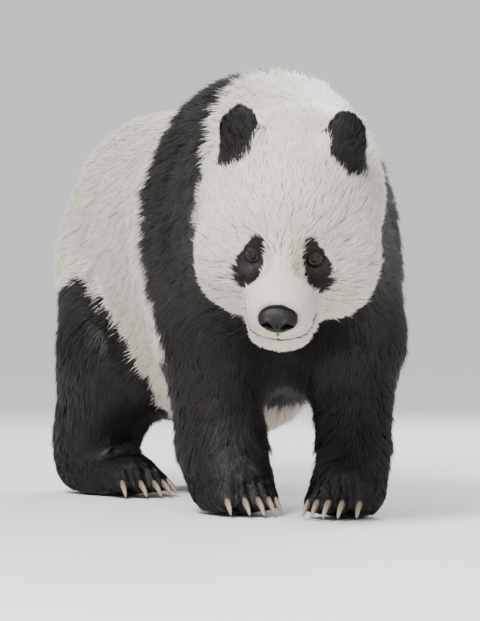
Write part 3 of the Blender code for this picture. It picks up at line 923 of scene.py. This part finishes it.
# ---- eyes and lids
def band_faces(rings, around, start=0):
    """Quads between closed rings of points."""
    quads = []
    for ring in range(rings - 1):
        low = start + ring * around
        high = low + around
        for i in range(around):
            j = (i + 1) % around
            quads.append((low + i, low + j, high + j, high + i))
    return quads


def ball_form(rings, around, gather):
    """A ball's points as angles from its front and round it, closer near the front, and its faces."""
    polar = math.pi * (np.arange(1, rings) / rings) ** gather
    turn = np.linspace(0, 2 * math.pi, around, endpoint=False)
    polar, turn = (grid.ravel() for grid in np.meshgrid(polar, turn, indexing="ij"))
    polar = np.concatenate([[0], polar, [math.pi]])
    turn = np.concatenate([[0], turn, [0]])
    last = len(polar) - 1
    faces = [(0, 1 + (i + 1) % around, 1 + i) for i in range(around)]
    faces += band_faces(rings - 1, around, 1)
    faces += [(last - around + i, last - around + (i + 1) % around, last) for i in range(around)]
    return polar, turn, faces


def eye_frame(side):
    """An eye's centre, and rows: towards the outer corner, the way it looks and up."""
    centre = EYE_R if side < 0 else EYE_L
    outer, back, up = HEAD[0] * side, HEAD[1], HEAD[2]
    gaze = unit(-back + outer * 0.22 + up * 0.10)
    outer = unit(outer - gaze * (outer @ gaze))
    up = unit(up - gaze * (up @ gaze) - outer * (up @ outer))
    slant = math.radians(EYE_SLANT)
    turned_out = outer * math.cos(slant) + up * math.sin(slant)
    turned_up = up * math.cos(slant) - outer * math.sin(slant)
    return centre, np.array([turned_out, gaze, turned_up])


def lid_rings(side, tree, around=56):
    """Rings of points from the lids' inner edge out to the skin."""
    centre, axes = eye_frame(side)
    turn = np.linspace(0, 2 * math.pi, around, endpoint=False)
    out, rise = np.cos(turn), np.sin(turn)
    width, above, below = EYE_OPENING
    across = width * out
    high = np.where(rise > 0, above, below) * rise * (1 - 0.14 * out**2)
    fold = 0.0009 * smoothstep(rise, -0.2, 0.6)
    rings = []
    for outside, lift, on_skin in LID_RINGS:
        wide, tall = across + out * outside, high + rise * outside
        radius = EYE_RADIUS + lift + fold * bump(outside - 0.0026, 0.0014)
        forward = np.sqrt(np.maximum(radius**2 - wide**2 - tall**2, 0))
        flat = centre + wide[:, None] * axes[0] + tall[:, None] * axes[2]
        points = flat + forward[:, None] * axes[1]
        for i in range(around if on_skin else 0):
            found = tree.ray_cast(Vector(flat[i] + 0.03 * axes[1]), Vector(-axes[1]))[0]
            landed = np.array(found) if found else points[i]
            points[i] += (landed + axes[1] * lift - points[i]) * on_skin
        rings.append(points)
    return rings


def add_lids(skin):
    """Joins the lids to the skin, with the same facts at each vertex."""
    faces = [tuple(face.vertices) for face in skin.mesh.polygons]
    tree = BVHTree.FromPolygons(skin.inner.tolist(), faces)
    depth, length, width = EYELID_COAT
    for side in (-1, 1):
        rings = lid_rings(side, tree)
        around = len(rings[0])
        points = np.concatenate(rings)
        centre, axes = eye_frame(side)
        quads = band_faces(len(rings), around, len(skin.inner))
        faces += quads if side < 0 else [quad[::-1] for quad in quads]
        outward = unit(points - centre)
        flow = unit(along_surface(outward - axes[1] * 0.6 + HEAD[1] * 0.5, outward))
        facts = {
            "inner": points,
            "outer": points + outward * depth,
            "normal": outward,
            "flow": flow,
            "aim": flow * length + outward * depth,
            "node": FLESH.index("head"),
            "kind": "head",
            "black": 1.0,
            "tuft_black": 1.0,
            "stain": 0.0,
            "proud": 0.0,
            "bare": np.repeat(np.arange(len(rings)) < BARE_RINGS, around),
            "depth": depth * 0.8,
            "length": length * 0.8,
            "width": width * 0.8,
            "crowding": 1.0 / (length * width),
        }
        for name, value in facts.items():
            value = value if np.ndim(value) else np.full(len(points), value)
            setattr(skin, name, np.concatenate([getattr(skin, name), value]))
    skin.mesh = mesh_of("skin", skin.inner, faces)


def build_eyes():
    material = eye_material()
    polar, turn, faces = ball_form(44, 56, 1.35)
    radius = EYE_RADIUS + 0.0011 * np.exp(-((polar / 0.46) ** 4))
    local = np.stack([np.sin(polar) * np.cos(turn), np.cos(polar), np.sin(polar) * np.sin(turn)], 1)
    away = np.degrees(polar)
    for side, name in ((-1, "eye_right"), (1, "eye_left")):
        centre, axes = eye_frame(side)
        points = centre + radius[:, None] * (local @ axes)
        ball = smooth_piece(name + "_ball", points, faces, material,
                            across=away * np.cos(turn), high=away * np.sin(turn))
        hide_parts(name)
        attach(ball, "root")


# ---- nose and lips
def build_nose():
    """The nose's pad with its nostrils and the top of the cleft."""
    low, high = nose_box()
    centre, half = (low + high) / 2, (high - low) / 2
    polar, turn, faces = ball_form(90, 120, 1.15)
    x, y, z = np.sin(polar) * np.cos(turn), -np.cos(polar), np.sin(polar) * np.sin(turn)
    x, y, z = (np.sign(row) * np.abs(row) ** power for row, power in ((x, 0.86), (y, 0.80), (z, 0.90)))
    x = x * (1.0 - 0.30 * smoothstep(-z, 0.10, 1.0) - 0.12 * smoothstep(z, 0.2, 1.0))
    ridge = np.log1p(np.exp((z + 0.02) / 0.10)) * 0.10
    y = y + 0.60 * ridge * (y < 0)
    x, y, z = x * half[0], y * half[1], z * half[2]
    front = y < 0.2 * half[1]
    hole = from_line(np.stack([np.abs(x), z], 1), NOSTRIL, NOSTRIL_WIDTH)
    y = y + front * (0.0085 * (1 - smoothstep(hole, 0.35, 1.15)) - 0.0015 * bump(hole - 1.7, 0.5))
    y = y + front * 0.0022 * bump(x, 0.0011) * smoothstep(-z, -0.004, 0.004)
    points = from_head(np.stack([x, y, z], 1) + centre)
    # hole paints the nostrils' insides nearly black: painted shade in their hollows.
    pad = smooth_piece("nose_pad", points, faces, nose_material(),
                       hole=np.where(front, 1 - smoothstep(hole, 0.4, 1.0), 0))
    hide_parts("nose")
    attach(pad, "root")


def build_lips(skin):
    """The lips' black edges with the mouth's line between them, and the cleft up to the nose."""
    tree = BVHTree.FromPolygons(skin.inner.tolist(), skin.triangles.tolist())
    turns = np.linspace(-104, 104, 121)
    mouth = [(0, MUZZLE_MIDDLE, height) for height in np.interp(np.abs(turns), *MOUTH_LINE)]
    outward = [(math.sin(math.radians(turn)), -math.cos(math.radians(turn)), -0.25) for turn in turns]
    narrow = np.sqrt(np.clip(1 - (np.abs(turns) / 108) ** 4, 0.02, 1))
    points, faces = lip_strip(tree, mouth, outward, narrow, upright=True)
    cleft = [(0, MUZZLE_MIDDLE, z) for z in np.linspace(-0.0850, NOSE_FOOT, 25)]
    more_points, more_faces = lip_strip(tree, cleft, [(0, -1, 0)] * 25, np.full(25, 0.42), upright=False)
    faces += [[corner + len(points) for corner in face] for face in more_faces]
    lips = smooth_piece("lips", np.concatenate([points, more_points]), faces, lip_material())
    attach(lips, "root")


def lip_strip(tree, starts, directions, scale, upright):
    """Sweeps the lips' profile along the skin, where rays from the starts meet it."""
    line = []
    for start, direction in zip(starts, directions):
        found = tree.ray_cast(Vector(from_head(start)), Vector(unit(direction) @ HEAD))
        line.append(found[:2])
    places, out = np.array(line).transpose(1, 0, 2)
    ahead = unit(np.gradient(places, axis=0))
    outside = unit(places - from_head(starts))
    out = unit(np.where(np.sum(out * outside, axis=1, keepdims=True) < 0, -out, out) + outside)
    for _ in range(6):
        places[1:-1] = places[1:-1] * 0.5 + (places[:-2] + places[2:]) * 0.25
        out[1:-1] = unit(out[1:-1] * 0.5 + (out[:-2] + out[2:]) * 0.25)
    up = unit(np.cross(out, ahead))
    if upright:
        up = np.where(up @ HEAD[2][:, None] < 0, -up, up)
    rise, depth = (np.array(LIP_PROFILE).T / 1000)[:, None] * scale[:, None]
    points = places[:, None] + up[:, None] * rise[..., None] + out[:, None] * depth[..., None]
    across = len(LIP_PROFILE)
    faces = [[i * across + j, i * across + j + 1, (i + 1) * across + j + 1, (i + 1) * across + j]
             for i in range(len(places) - 1) for j in range(across - 1)]
    return points.reshape(-1, 3), faces


# ---- claws
def build_claws():
    """Each claw's own solid, rounded."""
    material = claw_material()
    for name in CLAWS:
        mesh = bpy.data.meshes.new(name + "_horn")
        with editing(mesh) as shape:
            shape.from_mesh(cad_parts[name].data)
            bmesh.ops.remove_doubles(shape, verts=shape.verts, dist=0.0002)
            bmesh.ops.dissolve_limit(shape, angle_limit=0.05, verts=shape.verts, edges=shape.edges)
        centre = read_points(mesh).mean(axis=0)
        horn = new_object(name + "_horn", mesh)
        rounded = horn.modifiers.new("Round", "SUBSURF")
        rounded.levels = rounded.render_levels = 2
        smooth = with_modifiers(horn)
        horn.modifiers.clear()
        horn.data = smooth
        places = read_points(smooth)
        write_points(smooth, centre + (places - centre) * 1.08)
        away = lengths((places - centre_of(paw_of(name)))[:, :2])
        keep_float(smooth, "along", (away - away.min()) / (away.max() - away.min()))
        smooth.shade_smooth()
        smooth.materials.append(material)
        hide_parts(name)
        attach(horn, "root")


# ---- skin, as a piece
def unwrap(thing):
    """An unwrap of the skin's own shape, which the coat's tufts share."""
    thing.data.uv_layers.new(name="OFBake")
    bpy.ops.object.select_all(action="DESELECT")
    thing.select_set(True)
    bpy.context.view_layer.objects.active = thing
    bpy.ops.object.mode_set(mode="EDIT")
    bpy.ops.mesh.select_all(action="SELECT")
    bpy.ops.uv.smart_project(angle_limit=1.15, island_margin=0.002, scale_to_bounds=True)
    bpy.ops.object.mode_set(mode="OBJECT")


def build_skin():
    """The skin with its lids as one piece, and the tables that the coat grows from."""
    skin = Skin()
    add_lids(skin)
    mesh = skin.mesh
    body = new_object("skin", mesh)
    unwrap(body)
    mesh.calc_loop_triangles()
    skin.places = read(mesh.uv_layers["OFBake"].uv, "vector", 2)
    skin.triangles = read(mesh.loop_triangles, "vertices", 3, np.int32)
    skin.corners = read(mesh.loop_triangles, "loops", 3, np.int32)
    for key in ("black", "bare", "stain"):
        keep_float(mesh, key, getattr(skin, key))
    mesh.materials.append(skin_material())
    mesh.shade_smooth()
    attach(body, "root")
    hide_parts(*FLESH)
    return skin


# ---- stage
def build_stage():
    corners = [(-40, -12, 0), (60, -12, 0), (60, 90, 0), (-40, 90, 0)]
    plane = new_object("floor", mesh_of("floor", corners, [(0, 1, 2, 3)]))
    plane.data.materials.append(floor_material())
    world = bpy.data.worlds.new("studio")
    world.use_nodes = True
    sky = world.node_tree.nodes["Background"]
    sky.inputs["Color"].default_value = (0.98, 0.99, 1.0, 1)
    sky.inputs["Strength"].default_value = 0.85
    bpy.context.scene.world = world
    for name, place, target, size, power in LIGHTS:
        light = bpy.data.lights.new(name, "AREA")
        light.energy = power
        light.size = size
        lamp = new_object(name, light)
        lamp.location = place
        lamp.rotation_euler = (Vector(target) - Vector(place)).to_track_quat("-Z", "Y").to_euler()


def build_camera():
    data = bpy.data.cameras.new("camera")
    data.lens = CAMERA_LENS
    data.shift_y = CAMERA_SHIFT
    camera = new_object("camera", data)
    camera.location = CAMERA_AT
    camera.rotation_euler = (math.pi / 2, 0, math.radians(CAMERA_AZIMUTH))
    bpy.context.scene.camera = camera


build_camera()
build_stage()
skin = build_skin()
build_eyes()
build_nose()
build_claws()
build_lips(skin)
make_locks(skin)
build_coat(skin)
